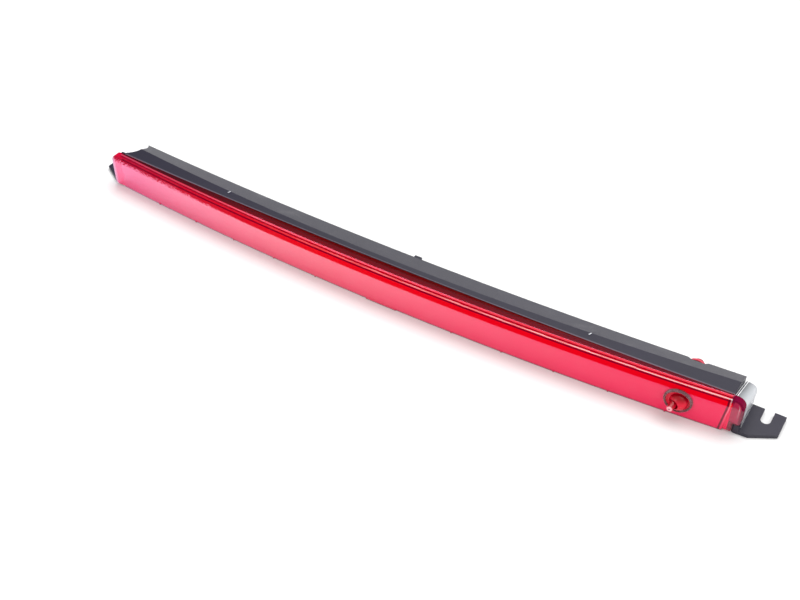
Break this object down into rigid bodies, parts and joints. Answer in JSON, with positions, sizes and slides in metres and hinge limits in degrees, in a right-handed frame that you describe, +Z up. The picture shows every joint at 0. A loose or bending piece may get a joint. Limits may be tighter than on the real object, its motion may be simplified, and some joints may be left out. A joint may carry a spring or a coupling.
{
  "type": "high-mount brake light",
  "caption": "Long slim curved high-mount brake lamp with a red lens, black housing, clear end covers, slotted foot brackets and an aimable rear washer jet.",
  "frame": {"origin": "middle of the housing's underside, in the plane of the feet's undersides and level with the round ends of the mounting slots", "axes": "+X along the lamp towards the washer jet's end, +Y from the lens into the vehicle, +Z up"},
  "size_m": [0.5376, 0.0485, 0.0298],
  "materials": {
    "red_lens": "clear red moulded lens, polished",
    "black_moulding": "fine-grained black moulding",
    "seal_rubber": "soft black rubber",
    "optic_red": "pale red optic with fine flutes",
    "metallised": "vacuum-metallised plastic",
    "board_green": "solder-resist green",
    "led_resin": "white package with clear resin",
    "chip_black": "moulded epoxy",
    "can_aluminium": "plain can",
    "zinc_steel": "zinc plated",
    "tinned_brass": "tinned",
    "lead_red": "insulation",
    "lead_black": "insulation",
    "membrane": "breathable film",
    "black_paint": "satin black coating",
    "clear_cover": "clear moulding",
    "ring_grey": "smoky translucent",
    "nozzle_red": "translucent red moulding",
    "grommet_red": "soft red silicone"
  },
  "bodies": {
    "lamp": {"outer_lens": "red_lens", "rear_housing": "black_moulding", "lens_seal": "seal_rubber", "inner_optic": "optic_red", "reflector": "metallised", "circuit_board": "board_green", "leds": "led_resin", "resistors": "chip_black", "driver_chip": "chip_black", "capacitors": "can_aluminium", "protection_diode": "chip_black", "board_screws": "zinc_steel", "connector_gasket": "seal_rubber", "connector_socket": "black_moulding", "terminal_pins": "tinned_brass", "lead_supply": "lead_red", "lead_ground": "lead_black", "vent_cap": "black_moulding", "vent_membrane": "membrane", "end_bracket_right": "black_paint", "end_bracket_left": "black_paint", "bracket_screws": "zinc_steel", "end_cap_right": "clear_cover", "end_cap_left": "clear_cover", "nozzle_ring": "ring_grey", "nozzle_body": "nozzle_red", "nozzle_stem": "nozzle_red", "check_valve": "seal_rubber", "stem_grommet": "grommet_red"},
    "turret": {"nozzle_turret": "nozzle_red"},
    "jet": {"jet_tip": "nozzle_red"}
  },
  "joints": [
    {"name": "turret_turn", "type": "hinge", "parent": "lamp", "child": "turret", "pos_m": [0.21013, -0.02011, 0.0132], "axis": [-0.0845, 0.9964, 0], "range_deg": [-60, 60]},
    {"name": "jet_tilt", "type": "hinge", "parent": "turret", "child": "jet", "pos_m": [0.20835, -0.02277, 0.0132], "axis": [-0.3408, -0.0289, 0.9397], "range_deg": [-8, 8]}
  ]
}
